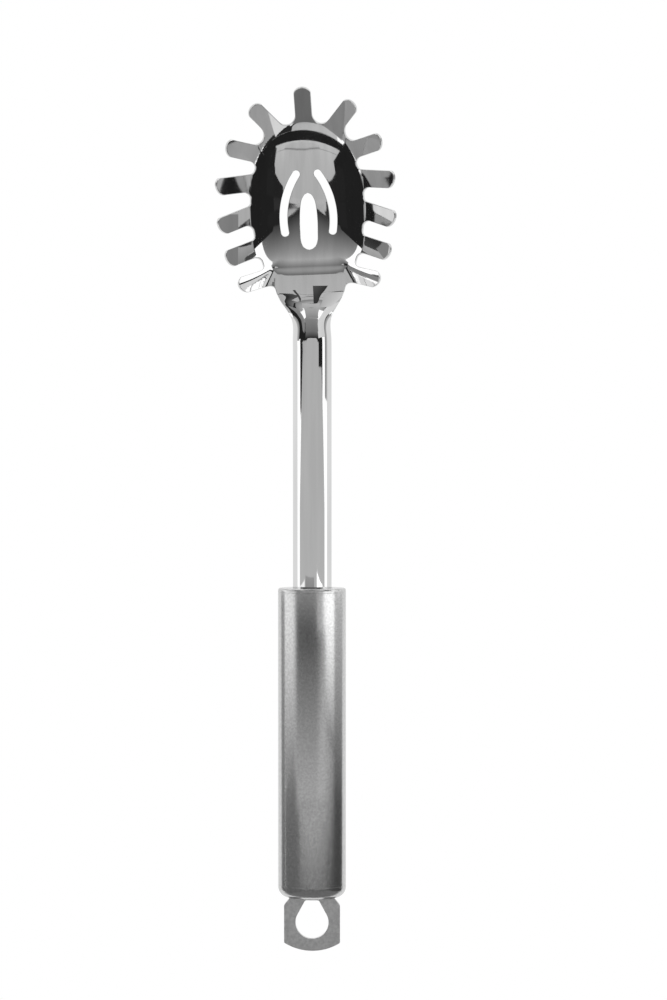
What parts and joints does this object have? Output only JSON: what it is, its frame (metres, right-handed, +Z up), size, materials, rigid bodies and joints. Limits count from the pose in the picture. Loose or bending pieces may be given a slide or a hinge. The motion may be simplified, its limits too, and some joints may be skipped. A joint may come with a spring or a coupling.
{
  "type": "pasta server",
  "caption": "Stainless-steel pasta server with a toothed oval bowl, drain slots, an arched shank, a hollow oval handle and a hanging tab.",
  "frame": {"origin": "on the table that the tool rests on, under the middle of its whole length and width", "axes": "+Y along the tool towards the tines, +X to the right with the bowl open upwards, +Z up"},
  "size_m": [0.0687, 0.3289, 0.0214],
  "materials": {
    "polished_head": "mirror polished stainless steel",
    "brushed_handle": "stainless steel brushed along the handle",
    "satin_tab": "satin stainless steel"
  },
  "bodies": {
    "root": {"head_and_shank": "polished_head", "handle_tube": "brushed_handle", "front_cap": "brushed_handle", "rear_cap": "brushed_handle", "hanging_tab": "satin_tab"}
  },
  "joints": []
}
